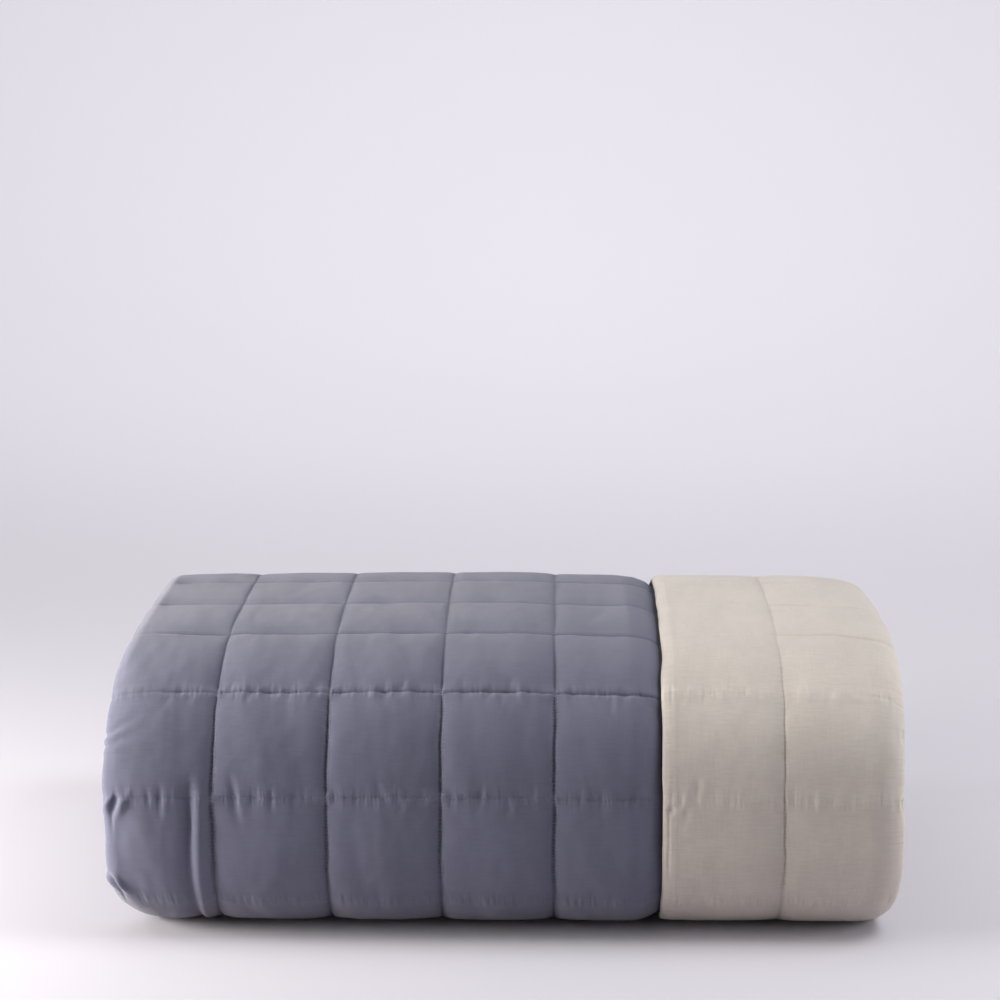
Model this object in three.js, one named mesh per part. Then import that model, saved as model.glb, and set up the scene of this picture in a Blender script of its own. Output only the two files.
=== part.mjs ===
// A reversible two-colour quilt, put away as a bundle. The quilt is folded in a zigzag into a strip, with
// one long edge turned back over the strip so that it shows the reverse, and the strip is rolled up flat.
// The bulging front of the roll faces -Y, the turned-back edge lies at the +X end, and the free end of the
// roll lies underneath. The bundle rests on the plane z = 0. Units are millimetres.
import * as THREE from 'three';

// Driving dimensions of the bundle
const SQUARE = 100; // pitch of the quilting
const WIDTH = 700; // from end fold to end fold
const DEPTH = 505; // from the bulging front to the back
const HEIGHT = 262; // from the surface to the crown of the top squares
const STRIPS_HIGH = 5; // strips in the height: two turns, above and below, and the core
const LAYERS = 4; // layers in the strip
const TURN_GAP = 1.6; // air between two turns of the roll
const LAYER_GAP = 1.2; // air between two layers of the strip
const PANEL_GAP = 0.4; // between the face panel and the reverse panel
const FREE_END = 50; // from the back of the bundle to the free end of the roll, underneath
const CORE_END = 145; // from the front of the bundle to the end of the strip in the core
const LAST_LAYER_END = -58; // where the innermost layer of the strip ends, left of the middle

// Quilting relief
const GROOVE = 4.8; // depth of a seam below the crowns
const ROW_SHARE = 0.75; // how much of that depth a row seam has between two column seams
const CROWN_POWER = 4; // fullness of the squares
const SEAM_SIDE = 13; // from a seam to the shoulder of the square beside it
const FIRST_COLUMN = -255; // column seam nearest the left end
const COLUMN_SEAMS = 4; // column seams in view on the face
const CUFF_EDGE = 142; // hem of the turned-back edge
const CUFF_SEAM = 246; // column seam of the turned-back edge
const ROW_ABOVE_GIRTH = 43; // from the girth of the front up to a row seam, along the cloth
const HEM_TAPER = 5.7; // how much thinner the underside is at the hem
const HEM_REACH = 30; // from the hem to where the cloth has its full thickness
const FADE_HEIGHT = 8; // the relief grows over this height above the surface
const FADE_LENGTH = 150; // and dies out over this length where the outer turn goes under the back

// How the bundle has settled
const END_SAG = 0.012; // share of its height that the right end has lost
const BACK_SAG = 0.012; // further share lost there toward the back
const SAG_FROM = 296; // where the sagging end begins
const LEFT_PULL = 11; // how far the left end is drawn in at the top of the back
const PULL_FROM = -0.1; // share of the depth where that begins
const PULL_TO = 0.6; // and where it is full
const RIGHT_PUSH = 11; // how far the right end is pushed out at the top of the front
const PUSH_FROM = 150; // distance from the middle where that begins
const PUSH_BACK_FROM = 0.3; // share of the depth where the push begins to die out
const PUSH_BACK_TO = 0.9; // where it has done so
const PUSH_LOSS = 0.6; // and how much of it is lost there
const FOOT_PULL = 22; // how far both ends are drawn in on the surface
const FOOT_HEIGHT = 70; // height over which that dies out
const FOOT_FROM = 150; // distance from the middle where it begins

// Colours of the cloths
const FACE_COLOUR = '#7c7a88';
const REVERSE_COLOUR = '#c8bfba';
const CLOTH_ROUGHNESS = 0.9;

// Fineness of the curves
const QUARTER_STEPS = 60;
const INNER_TURN_STEP = THREE.MathUtils.degToRad(20);
const OUTER_FOLD_STEPS = 5;
const MIDDLE_FOLD_STEPS = 3;
const INNER_FOLD_STEPS = 1;

// Sizes that follow
const STRIP = (HEIGHT - (STRIPS_HIGH - 1) * TURN_GAP) / STRIPS_HIGH;
const TURN = STRIP + TURN_GAP;
const LAYER = (STRIP - (LAYERS - 1) * LAYER_GAP) / LAYERS;
const LAYER_STEP = LAYER + LAYER_GAP;
const HALF_LAYER = LAYER / 2;
const HALF_PANEL_GAP = PANEL_GAP / 2;
const FRONT = -DEPTH / 2;
const BACK = DEPTH / 2;
const END = WIDTH / 2;
const FOLD_RADIUS = LAYER_STEP / 2;
const FOLD_CENTRE = END - FOLD_RADIUS - HALF_LAYER;
const LAST_LAYER = LAYERS;
const SAME_PLACE = PANEL_GAP / 10;

// The roll, one row for each half turn, from the free end underneath to the core. face is the y of its
// outermost point and girth the height of that point. The strip comes in at the height start and goes out
// at the height end; run is the length of the bend on each side of the girth and fullness its squareness.
// squeeze is how far the strip is pressed together where it goes out, and inset how far its ends are tucked
// in there.
const HALF_TURNS = [
  {
    face: FRONT, start: 0, girth: 91, end: HEIGHT, squeeze: 1, inset: 0,
    runIn: 95, fullnessIn: 2.2, runOut: 322, fullnessOut: 3.5,
  },
  {
    face: BACK, start: HEIGHT, girth: 126, end: TURN, squeeze: 0.88, inset: 3,
    runIn: 183, fullnessIn: 2.5, runOut: 78, fullnessOut: 2,
  },
  {
    face: FRONT + TURN + 4, start: TURN + 1, girth: 120, end: HEIGHT - TURN - 5, squeeze: 0.88, inset: 9,
    runIn: 82, fullnessIn: 2, runOut: 135, fullnessOut: 2.1,
  },
  {
    face: BACK - TURN - 18, start: HEIGHT - TURN - 5, girth: 153, end: 2 * TURN - 2, squeeze: 0.88, inset: 5,
    runIn: 56, fullnessIn: 2, runOut: 52, fullnessOut: 2,
  },
];
const OUTER_HALF_TURNS = 2;

// Where the strip's layers step inward under the turned-back edge: x, and the share of the step made there.
const CUFF_STEP = [
  { x: 110, share: 0 },
  { x: 130, share: 0.24 },
  { x: 150, share: 0.71 },
  { x: 160, share: 0.9 },
  { x: 172, share: 1 },
];

// The folds between the layers: the end at which they lie and how far they are tucked in from it.
const FOLDS = [
  { side: 1, tuck: 0.5 },
  { side: -1, tuck: 0 },
  { side: 1, tuck: 0 },
  { side: -1, tuck: 5 },
];
const STEP_START = CUFF_STEP[0];
const STEP_STOP = CUFF_STEP[CUFF_STEP.length - 1];

function clamp01(value) {
  return THREE.MathUtils.clamp(value, 0, 1);
}

// Fullness of a square at a distance from its nearest seam: 0 on the seam and 1 on the crown.
function crown(distance) {
  return 1 - Math.pow(1 - Math.min(distance / (SQUARE / 2), 1), CROWN_POWER);
}

// One quarter of a half turn, from its flat run to its girth.
function quarterBend(half, run, fullness, level) {
  const inward = -Math.sign(half.face);
  const points = [];
  for (let i = 0; i <= QUARTER_STEPS; i += 1) {
    const angle = (i / QUARTER_STEPS) * (Math.PI / 2);
    const across = 1 - Math.pow(Math.sin(angle), 2 / fullness);
    const along = Math.pow(Math.max(Math.cos(angle), 0), 2 / fullness);
    const y = half.face + inward * run * across;
    const z = half.girth + (level - half.girth) * along;
    points.push({ y, z });
  }
  return points;
}

// The outer line of the roll as a fine chain of points with its length, direction and squeeze.
function rollLine() {
  let { squeeze, inset } = HALF_TURNS[0];
  const line = [{ y: BACK - FREE_END, z: 0, squeeze, inset, turn: 0 }];
  HALF_TURNS.forEach((half, turn) => {
    const bendIn = quarterBend(half, half.runIn, half.fullnessIn, half.start);
    const bendOut = quarterBend(half, half.runOut, half.fullnessOut, half.end).reverse();
    const first = line.length;
    bendIn.forEach((point) => line.push({ ...point, squeeze, inset, turn }));
    line[first].bendEnd = true;
    line[line.length - 1].girth = true;
    bendOut.slice(1).forEach((point, i) => {
      const share = (i + 1) / QUARTER_STEPS;
      line.push({
        ...point,
        squeeze: THREE.MathUtils.lerp(squeeze, half.squeeze, share),
        inset: THREE.MathUtils.lerp(inset, half.inset, share),
        turn,
      });
    });
    line[line.length - 1].bendEnd = true;
    ({ squeeze, inset } = half);
  });
  const last = HALF_TURNS[HALF_TURNS.length - 1];
  line.push({ y: FRONT + CORE_END, z: last.end, squeeze, inset, turn: HALF_TURNS.length });
  let length = 0;
  line.forEach((point, i) => {
    const before = line[Math.max(i - 1, 0)];
    const after = line[Math.min(i + 1, line.length - 1)];
    length += Math.hypot(point.y - before.y, point.z - before.z);
    point.length = length;
    point.angle = Math.atan2(after.z - before.z, after.y - before.y);
  });
  return line;
}

// The point of the line at a length along it. The relief is how far the squares stand out there, and the
// row is the fullness that the row seams leave.
function stationAt(line, length, outerLength, rowSeam) {
  const i = Math.max(line.findIndex((point) => point.length >= length), 1);
  const a = line[i - 1];
  const b = line[i];
  const share = (length - a.length) / Math.max(b.length - a.length, Number.EPSILON);
  const turned = Math.atan2(Math.sin(b.angle - a.angle), Math.cos(b.angle - a.angle));
  const angle = a.angle + turned * share;
  const z = THREE.MathUtils.lerp(a.z, b.z, share);
  const toSeam = THREE.MathUtils.euclideanModulo(length - rowSeam, SQUARE);
  return {
    y: THREE.MathUtils.lerp(a.y, b.y, share),
    z,
    inwardY: Math.sin(angle),
    inwardZ: -Math.cos(angle),
    squeeze: THREE.MathUtils.lerp(a.squeeze, b.squeeze, share),
    inset: THREE.MathUtils.lerp(a.inset, b.inset, share),
    relief: clamp01(z / FADE_HEIGHT) * clamp01((outerLength - length) / FADE_LENGTH),
    row: crown(Math.min(toSeam, SQUARE - toSeam)),
  };
}

// Stations for the sweep: on the seams, shoulders and crowns of the outer turn, and farther apart on the
// flat run below it and on the inner turns.
function rollStations() {
  const line = rollLine();
  const total = line[line.length - 1].length;
  const floorEnd = line[1].length;
  const outerLength = line.filter((point) => point.turn < OUTER_HALF_TURNS).pop().length;
  const rowSeam = line.find((point) => point.girth).length + ROW_ABOVE_GIRTH;
  const lengths = [0, floorEnd];
  const firstRow = Math.ceil((floorEnd - rowSeam) / SQUARE) - 1;
  for (let seam = rowSeam + firstRow * SQUARE; seam < outerLength; seam += SQUARE) {
    [0, SEAM_SIDE, SQUARE / 2, SQUARE - SEAM_SIDE].forEach((step) => {
      const length = seam + step;
      if (length > floorEnd + SEAM_SIDE / 2 && length < outerLength - SEAM_SIDE / 2) {
        lengths.push(length);
      }
    });
  }
  let turned = 0;
  line.forEach((point, i) => {
    if (point.length < outerLength || i + 1 === line.length) {
      return;
    }
    const change = line[i + 1].angle - point.angle;
    turned += Math.abs(Math.atan2(Math.sin(change), Math.cos(change)));
    if (turned > INNER_TURN_STEP || point.bendEnd) {
      lengths.push(point.length);
      turned = 0;
    }
  });
  lengths.push(total);
  return lengths.map((length) => stationAt(line, length, outerLength, rowSeam));
}

// Share of the step under the turned-back edge that is made at x, and none or all of it beyond.
function cuffStep(x) {
  const next = CUFF_STEP.findIndex((row) => row.x >= x);
  if (next === 0) {
    return CUFF_STEP[0].share;
  }
  if (next < 0) {
    return 1;
  }
  const a = CUFF_STEP[next - 1];
  const b = CUFF_STEP[next];
  return THREE.MathUtils.mapLinear(x, a.x, b.x, a.share, b.share);
}

// How much thinner the underside of the turned-back edge is at x.
function hemTaper(x) {
  const edge = clamp01(1 - (x - CUFF_EDGE) / HEM_REACH);
  return HEM_TAPER * edge * edge;
}

// Depth of the middle of a layer below the outer line. Layer 0 is the turned-back edge, which lies on top.
function layerDepth(layer, x) {
  const above = layer === 0 ? 0 : layer - 1 + cuffStep(x);
  return HALF_LAYER + above * LAYER_STEP;
}

// Column positions of a quilted run: its ends and other given places, each seam with its shoulders, and the
// crowns between the seams.
function columnStations(seams, from, to, others = []) {
  const columns = [from, to, ...others];
  seams.forEach((seam) => {
    columns.push(seam - SQUARE / 2, seam - SEAM_SIDE, seam, seam + SEAM_SIDE, seam + SQUARE / 2);
  });
  const inside = columns.filter((x) => x >= from && x <= to).sort((a, b) => a - b);
  return inside.filter((x, i) => i === 0 || x - inside[i - 1] > SAME_PLACE);
}

// A fold at one end of the strip, as points on an arc that run inward. A quilted fold is drawn in where the
// row seams cross it.
function foldArc(fold, depth, radius, steps, quilted) {
  const { side } = fold;
  const points = [];
  for (let i = 0; i <= steps; i += 1) {
    const angle = THREE.MathUtils.mapLinear(i, 0, steps, -Math.PI / 2, Math.PI / 2);
    points.push({
      x: side * (FOLD_CENTRE - fold.tuck + radius * Math.cos(angle)),
      depth: depth + radius * Math.sin(angle),
      pullX: -side * Math.cos(angle),
      pullDepth: -Math.sin(angle),
      column: 1,
      quilted,
    });
  }
  return points;
}

// Steps for the arc of a fold by its radius: the outside of the strip, the middle of a layer or its inside.
function foldSteps(radius) {
  if (radius > FOLD_RADIUS + HALF_PANEL_GAP) {
    return OUTER_FOLD_STEPS;
  }
  return radius < FOLD_RADIUS - HALF_PANEL_GAP ? INNER_FOLD_STEPS : MIDDLE_FOLD_STEPS;
}

const FACE_SEAMS = Array.from({ length: COLUMN_SEAMS }, (_, i) => FIRST_COLUMN + i * SQUARE);
const CUFF_SEAMS = [CUFF_EDGE, CUFF_SEAM];

// One run of the strip between its folds, at an offset from the middle of its layer. The offset is positive
// on the reverse. Only the outermost run of each cloth is quilted.
function layerRun(layer, offset) {
  const leftward = layer % 2 === 1;
  const depthSide = leftward ? 1 : -1;
  const outside = Math.abs(offset) > HALF_PANEL_GAP;
  const quilted = outside && (layer === 0 ? offset > 0 : layer === 1 && offset < 0);
  const leftFold = FOLDS[leftward ? layer : layer - 1];
  const rightFold = FOLDS[leftward ? layer - 1 : layer];
  const from = leftFold ? leftFold.tuck - FOLD_CENTRE : CUFF_EDGE;
  const to = rightFold ? FOLD_CENTRE - rightFold.tuck : LAST_LAYER_END;
  const seams = layer === 0 ? CUFF_SEAMS : FACE_SEAMS;
  let columns = [from, STEP_START.x, STEP_STOP.x, SAG_FROM, to];
  if (layer === 0) {
    const hemColumns = CUFF_STEP.map((row) => row.x).filter((x) => x > from);
    columns = outside ? [from, ...hemColumns, SAG_FROM, to] : [from, from + SEAM_SIDE, SAG_FROM, to];
  }
  if (layer === LAST_LAYER) {
    columns = [from, to];
  }
  if (quilted && layer === 0) {
    columns = columnStations(seams, from, to, [SAG_FROM]);
  }
  if (quilted && layer === 1) {
    columns = columnStations(seams, from, STEP_START.x);
    columns.push(...CUFF_STEP.slice(1).map((row) => row.x), SAG_FROM, to);
  }
  const points = columns.map((x) => {
    const toSeam = Math.min(...seams.map((seam) => Math.abs(x - seam)));
    const hem = layer === 0 && offset < -HALF_PANEL_GAP ? hemTaper(x) : 0;
    return {
      x,
      depth: layerDepth(layer, x) + depthSide * (offset + hem),
      pullX: 0,
      pullDepth: 1,
      column: crown(toSeam),
      quilted,
    };
  });
  return leftward ? points.reverse() : points;
}

// One side of a cloth through the whole zigzag, from the hem of the turned-back edge to the last layer.
function clothSide(offset) {
  const points = [];
  for (let layer = 0; layer <= LAST_LAYER; layer += 1) {
    points.push(...layerRun(layer, offset));
    if (layer < LAST_LAYER) {
      const fold = FOLDS[layer];
      const radius = FOLD_RADIUS + fold.side * offset;
      const depth = layerDepth(layer, fold.side * FOLD_CENTRE) + FOLD_RADIUS;
      const quilted = layer < 2 && radius > FOLD_RADIUS + HALF_PANEL_GAP;
      points.push(...foldArc(fold, depth, radius, foldSteps(radius), quilted).slice(1, -1));
    }
  }
  return points;
}

// Closed outline of a panel across the strip, between two offsets from the middle of the layers.
function panelOutline(reverseSide, faceSide) {
  return [...clothSide(reverseSide), ...clothSide(faceSide).reverse()];
}

// The settled place of a point of the roll.
function settle(x, y, z) {
  const back = (y - FRONT) / DEPTH;
  const high = z / HEIGHT;
  const rightEnd = clamp01((x - SAG_FROM) / (END - SAG_FROM));
  const leftEnd = Math.pow(clamp01(-x / END), 2);
  const bothEnds = clamp01((Math.abs(x) - FOOT_FROM) / (END - FOOT_FROM));
  const foot = Math.pow(clamp01(1 - z / FOOT_HEIGHT), 2);
  const pull = LEFT_PULL * leftEnd * high * high * THREE.MathUtils.smoothstep(back, PULL_FROM, PULL_TO);
  const pushed = Math.pow(clamp01((x - PUSH_FROM) / (END - PUSH_FROM)), 2) * Math.pow(high, 3);
  const kept = 1 - PUSH_LOSS * THREE.MathUtils.smoothstep(back, PUSH_BACK_FROM, PUSH_BACK_TO);
  const push = RIGHT_PUSH * pushed * kept;
  const settledX = x + pull + push - Math.sign(x) * FOOT_PULL * bothEnds * foot;
  const settledZ = z * (1 - rightEnd * (END_SAG + BACK_SAG * back));
  return [settledX, y, settledZ];
}

// Whether an outline runs to the right, or inward where it runs straight in. Facing layers split their
// facets by this in the same way, so that they stay apart where they twist.
function runsForward(point, next) {
  const rightward = next.x - point.x;
  return Math.abs(rightward) > SAME_PLACE ? rightward > 0 : next.depth > point.depth;
}

// Closes one end of a sweep, given the index of its first point.
function endCap(positions, first, count) {
  const contour = [];
  for (let i = first; i < first + count; i += 1) {
    contour.push(new THREE.Vector2(positions[3 * i], positions[3 * i + 2]));
  }
  return THREE.ShapeUtils.triangulateShape(contour, []).map((face) => face.map((i) => first + i));
}

// Sweeps a panel's outline along the roll and closes both ends.
function rolledPanel(outline, stations) {
  const positions = [];
  stations.forEach((station) => {
    outline.forEach((point) => {
      const relief = point.quilted ? station.relief : 0;
      const fullness = point.column * (1 - ROW_SHARE * (1 - station.row));
      const groove = GROOVE * relief * (1 - fullness);
      const depth = (point.depth + point.pullDepth * groove) * station.squeeze;
      const tucked = 1 - station.inset / END;
      positions.push(...settle(
        (point.x + point.pullX * groove) * tucked,
        station.y + station.inwardY * depth,
        station.z + station.inwardZ * depth,
      ));
    });
  });
  const count = outline.length;
  const index = [];
  for (let row = 0; row + 1 < stations.length; row += 1) {
    for (let i = 0; i < count; i += 1) {
      const next = (i + 1) % count;
      const a = row * count + i;
      const b = row * count + next;
      if (runsForward(outline[i], outline[next])) {
        index.push(a, b, b + count, a, b + count, a + count);
      } else {
        index.push(a, b, a + count, b, b + count, a + count);
      }
    }
  }
  endCap(positions, 0, count).forEach(([a, b, c]) => index.push(a, c, b));
  endCap(positions, (stations.length - 1) * count, count).forEach((face) => index.push(...face));
  const geometry = new THREE.BufferGeometry();
  geometry.setAttribute('position', new THREE.Float32BufferAttribute(positions, 3));
  geometry.setIndex(index);
  geometry.computeVertexNormals();
  return geometry;
}

function cloth(name, outline, stations, colour) {
  const material = new THREE.MeshStandardMaterial({
    color: colour,
    roughness: CLOTH_ROUGHNESS,
    metalness: 0,
  });
  const mesh = new THREE.Mesh(rolledPanel(outline, stations), material);
  mesh.name = name;
  return mesh;
}

const stations = rollStations();
const quilt = new THREE.Group();
quilt.name = 'quilt';
const facePanel = panelOutline(-HALF_PANEL_GAP, -HALF_LAYER);
const reversePanel = panelOutline(HALF_LAYER, HALF_PANEL_GAP);
quilt.add(cloth('face_panel', facePanel, stations, FACE_COLOUR));
quilt.add(cloth('reverse_panel', reversePanel, stations, REVERSE_COLOUR));

// The middle of the footprint becomes the origin.
const middle = new THREE.Box3().setFromObject(quilt).getCenter(new THREE.Vector3());
quilt.children.forEach((panel) => panel.geometry.translate(-middle.x, -middle.y, 0));

export default quilt;
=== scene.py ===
"""Dresses the folded quilt: its two quilted cloths, the sewing that shows, and a plain studio round them."""
import math

import bpy
import numpy as np
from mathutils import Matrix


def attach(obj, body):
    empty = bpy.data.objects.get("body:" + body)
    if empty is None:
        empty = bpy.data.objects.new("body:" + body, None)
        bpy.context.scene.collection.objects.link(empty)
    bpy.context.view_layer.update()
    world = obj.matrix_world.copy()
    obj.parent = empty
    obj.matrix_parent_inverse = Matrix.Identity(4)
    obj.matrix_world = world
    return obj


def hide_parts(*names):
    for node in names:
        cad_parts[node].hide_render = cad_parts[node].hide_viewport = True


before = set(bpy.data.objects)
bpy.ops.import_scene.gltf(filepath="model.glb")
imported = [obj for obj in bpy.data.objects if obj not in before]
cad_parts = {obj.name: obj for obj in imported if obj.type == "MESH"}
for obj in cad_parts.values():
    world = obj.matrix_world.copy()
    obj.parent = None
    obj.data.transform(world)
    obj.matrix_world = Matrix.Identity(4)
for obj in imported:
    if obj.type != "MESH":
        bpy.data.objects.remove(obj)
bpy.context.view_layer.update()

bl_info = {
    "name": "Folded quilt",
    "version": (1, 0, 0),
    "blender": (4, 5, 0),
    "location": "3D View > Sidebar > Quilt",
    "description": "Makes the cloths and the sewing of a folded quilt, and a plain studio to look at it in",
    "category": "Add Mesh",
}

# The folded bundle, in metres, as in the solids
SQUARE = 0.100
WIDTH = 0.700
DEPTH = 0.505
HEIGHT = 0.262
STRIPS_HIGH = 5
LAYERS = 4
TURN_GAP = 0.0016
LAYER_GAP = 0.0012
HALF_PANEL_GAP = 0.0002
FREE_END = 0.050
END_ROUND = 0.0060
END_SHARE = 0.35
CORE_END = 0.145
LAST_LAYER_END = -0.058
CUFF_EDGE = 0.142
CUFF_SEAM = 0.246
ROW_ABOVE_GIRTH = 0.043
FADE_HEIGHT = 0.008
FADE_LENGTH = 0.150
CUFF_STEP = ((0.110, 0.130, 0.150, 0.160, 0.172), (0, 0.24, 0.71, 0.90, 1))
FACE_STEP_FROM = 0.110
FACE_STEP_TO = 0.172
HEM_REACH = 0.030
HEM_UNDER = 0.0057
HEM_SLOPE = 0.0026
HEM_ROUND = 0.0022
HEM_WIDTH = 0.0082
HEM_DRAW = 0.0021

# How the bundle has settled
END_SAG = 0.012
BACK_SAG = 0.012
SAG_FROM = 0.296
LEFT_SAG = 0.014
LEFT_SAG_FROM = 0.050
RIGHT_SAG = 0.010
RIGHT_SAG_TO = 0.100
LEFT_BULGE = 0.0030
LEFT_BULGE_AT = 0.138
LEFT_BULGE_REACH = 0.028
LEFT_PULL = 0.009
PULL_FROM = -0.1
PULL_TO = 0.6
RIGHT_PUSH = 0.0085
RIGHT_BULGE = 0.0030
RIGHT_BULGE_AT = 0.080
RIGHT_BULGE_REACH = 0.060
PUSH_FROM = 0.150
PUSH_BACK_FROM = 0.3
PUSH_BACK_TO = 0.9
PUSH_LOSS = 0.6
LEFT_FOOT_PULL = 0.022
RIGHT_FOOT_PULL = 0.009
FOOT_HEIGHT = 0.070
FOOT_FROM = 0.262
MIDDLE_X = 0.00447
MIDDLE_Y = 0.00008

# Sizes that follow
STRIP = (HEIGHT - (STRIPS_HIGH - 1) * TURN_GAP) / STRIPS_HIGH
TURN = STRIP + TURN_GAP
LAYER = (STRIP - (LAYERS - 1) * LAYER_GAP) / LAYERS
LAYER_STEP = LAYER + LAYER_GAP
HALF_LAYER = LAYER / 2
FRONT = -DEPTH / 2
BACK = DEPTH / 2
END = WIDTH / 2
FOLD_RADIUS = LAYER_STEP / 2
FOLD_CENTRE = END - FOLD_RADIUS - HALF_LAYER
NOSE_RADIUS = FOLD_RADIUS + HALF_LAYER

# Half turns of the roll: face, start, girth, end, squeeze, inset, run in, fullness in, run out, fullness out
HALF_TURNS = (
    (FRONT, 0, 0.091, HEIGHT, 1, 0, 0.095, 2.2, 0.322, 3.5),
    (BACK, HEIGHT, 0.126, TURN, 0.88, 0.003, 0.183, 2.5, 0.078, 2),
    (FRONT + TURN + 0.004, TURN + 0.001, 0.120, HEIGHT - TURN - 0.005, 0.88, 0.009, 0.082, 2, 0.135, 2.1),
    (BACK - TURN - 0.018, HEIGHT - TURN - 0.005, 0.153, 2 * TURN - 0.002, 0.88, 0.005, 0.056, 2, 0.052, 2),
)
OUTER_HALF_TURNS = 2
QUARTER_STEPS = 240

# Folds between the layers: side and tuck
FOLDS = ((1, 0.0005), (-1, 0), (1, 0), (-1, 0.005))

# Seams across the squares. A column seam has its place and the share of the full depth it has. A row seam
# is counted from the one above the girth of the front, and has its share of the depth, the share of that
# which is a sharp crease, the softness of its lower and upper side, and the share of the full pucker height.
FACE_SEAMS = ((-0.341, 0), (-0.255, 1), (-0.155, 1), (-0.055, 1), (0.045, 1), (0.145, 1))
CUFF_SEAMS = ((CUFF_SEAM, 0.52), (0.356, 0))
ROW_SEAMS = {
    -2: (0.30, 0.20, 0.0100, 0.010, 0.5),
    -1: (0.10, 0.05, 0.0080, 0.010, 0.4),
    0: (0.30, 0.46, 0.0090, 0.012, 0.9),
    1: (0.64, 0.42, 0.0075, 0.013, 1.6),
    2: (0.78, 0.18, 0.0034, 0.014, 0.35),
    3: (0.96, 0.18, 0.0034, 0.015, 0.25),
    4: (0.90, 0.18, 0.0040, 0.014, 0.25),
}
OTHER_ROW = (0.55, 0.30, 0.0060, 0.009, 0.5)
CUFF_ROW_SHARE = 0.11
CREASE = 0.0018
FRONT_RISE = 0.0014
DEEPEST = 0.0056

# Creases that leave a row seam, listed in millimetres: the row seam, the place across the squares,
# the reach above and below the seam, the lean to the right for each millimetre up, the half width and the
# depth
FACE_CREASES = (
    (0, -325.7, 4, 7, 0, 1.8, 0.5),
    (0, -299.7, 16, 24, 0, 2.2, 1.2),
    (0, -234.8, 27, 27, -0.14, 3.2, 1.6),
    (0, -223.4, 9, 3, 0, 2.0, 0.5),
    (0, -202.3, 12, 16, 0, 2.4, 1.0),
    (0, -185.2, 3, 5, 0, 2.0, 0.4),
    (0, -147.0, 14, 9, 0, 2.0, 0.7),
    (0, -125.9, 6, 4, 0, 1.8, 0.6),
    (0, -112.8, 2, 13, 0, 2.2, 0.7),
    (0, -107.5, 18, 2, -0.2, 2.2, 0.8),
    (0, -97.0, 15, -5, 0, 2.0, 0.5),
    (0, -89.0, -1, 15, 0, 2.4, 1.0),
    (0, -66.2, 3, 6, 0, 1.8, 0.5),
    (0, -44.3, 10, 14, 0, 2.4, 0.7),
    (0, -34.1, 8, 8, 0, 2.0, 0.5),
    (0, -19.7, 10, 4, 0.1, 2.2, 0.8),
    (0, -4.9, 0, 10, 0, 2.0, 0.6),
    (0, 4.9, 4, 18, 0, 3.0, 1.3),
    (0, 17.7, 0, 6, 0, 1.8, 0.5),
    (0, 26.9, 15, 0, 0, 2.2, 0.7),
    (0, 38.9, 0, 12, 0, 2.0, 0.8),
    (0, 50.6, 4, 10, 0, 2.0, 0.6),
    (0, 86.3, 18, 20, 0, 4.0, 1.0),
    (0, 106.8, 2, 8, 0, 2.0, 0.5),
    (0, 114.7, 17, 14, 0, 3.4, 1.2),
    (1, -295.2, 0, 19, 0.25, 3.0, 0.7),
    (1, -276.4, 0, 15, 0.20, 2.4, 0.6),
    (1, -243.7, 13, 2, 0.25, 2.0, 0.8),
    (1, -246.8, 0, 9, 0, 1.8, 0.7),
    (1, -227.1, 0, 17, 0, 2.4, 0.9),
    (1, -220.6, 7, 0, 0.1, 1.6, 0.6),
    (1, -200.7, 8, 11, 0.1, 2.0, 0.8),
    (1, -189.5, 0, 9, 0, 1.6, 0.5),
    (1, -177.9, 0, 11, 0, 2.0, 0.6),
    (1, -169.8, 9, 0, 0.15, 1.8, 0.8),
    (1, -134.9, 7, 7, 0, 1.6, 0.7),
    (1, -124.2, 6, 0, 0, 1.5, 0.6),
    (1, -119.7, 0, 8, 0, 1.8, 0.6),
    (1, -104.5, 17, 15, 0, 2.0, 0.9),
    (1, -90.2, 13, 0, 0.1, 2.2, 0.9),
    (1, -61.5, 3, 8, 0.2, 2.0, 0.6),
    (1, -40.9, 18, 0, 0.3, 3.0, 0.6),
    (1, -29.3, 0, 10, 0, 2.0, 0.7),
    (1, -17.6, 8, 6, 0, 1.8, 0.6),
    (1, -2.0, 2, 17, 0, 2.6, 0.9),
    (1, 4.7, 16, 0, 0.1, 2.0, 0.7),
    (1, 17.3, 7, 0, 0, 1.8, 0.6),
    (1, 31.6, 8, 0, 0, 2.0, 0.6),
    (1, 95.2, 0, 24, 0, 2.6, 0.9),
    (1, 103.7, 9, 0, 0, 1.8, 0.6),
)
CUFF_CREASES = (
    (0, 170.0, 24, 2, 0, 2.6, 1.0),
    (0, 161.2, -5, 22, 0, 2.2, 0.9),
    (0, 184.0, -6, 16, 0, 2.5, 0.3),
    (0, 224.9, 14, 0, 0, 3.0, 0.4),
    (1, 177.1, 0, 11, 0, 2.0, 0.5),
    (1, 192.0, 0, 6, 0, 1.6, 0.3),
    (1, 213.3, 7, 2, 0, 1.8, 0.5),
    (1, 222.0, 0, 5, 0, 1.6, 0.3),
)

# How much of the column seams' depth is left where a row seam crosses them on the front, and how near to it
CROSSING_LOSS = 0.55
CROSSING_REACH = 0.0050

# The upright pleat beside the first column seam: how far above a row seam it begins, its place across the
# squares, its lean, its depth, the softness of its two sides, and the height, place and width of its ridge
PLEAT_TOP = 0.026
PLEAT_AT = -0.2730
PLEAT_LEAN = 0.0025
PLEAT_DEPTH = 0.0044
PLEAT_SOFT = (0.0068, 0.0026)
PLEAT_RIDGE = (0.0020, 0.0086, 0.0050)

# Pinches at the left end: the row seam, the place across the squares, the fall below the seam, the slant and
# the depth
END_PINCHES = ((0, -0.3415, 0.0076, 0.5, 0.0052), (-1, -0.3500, -0.0145, -0.5, 0.0050))

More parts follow.
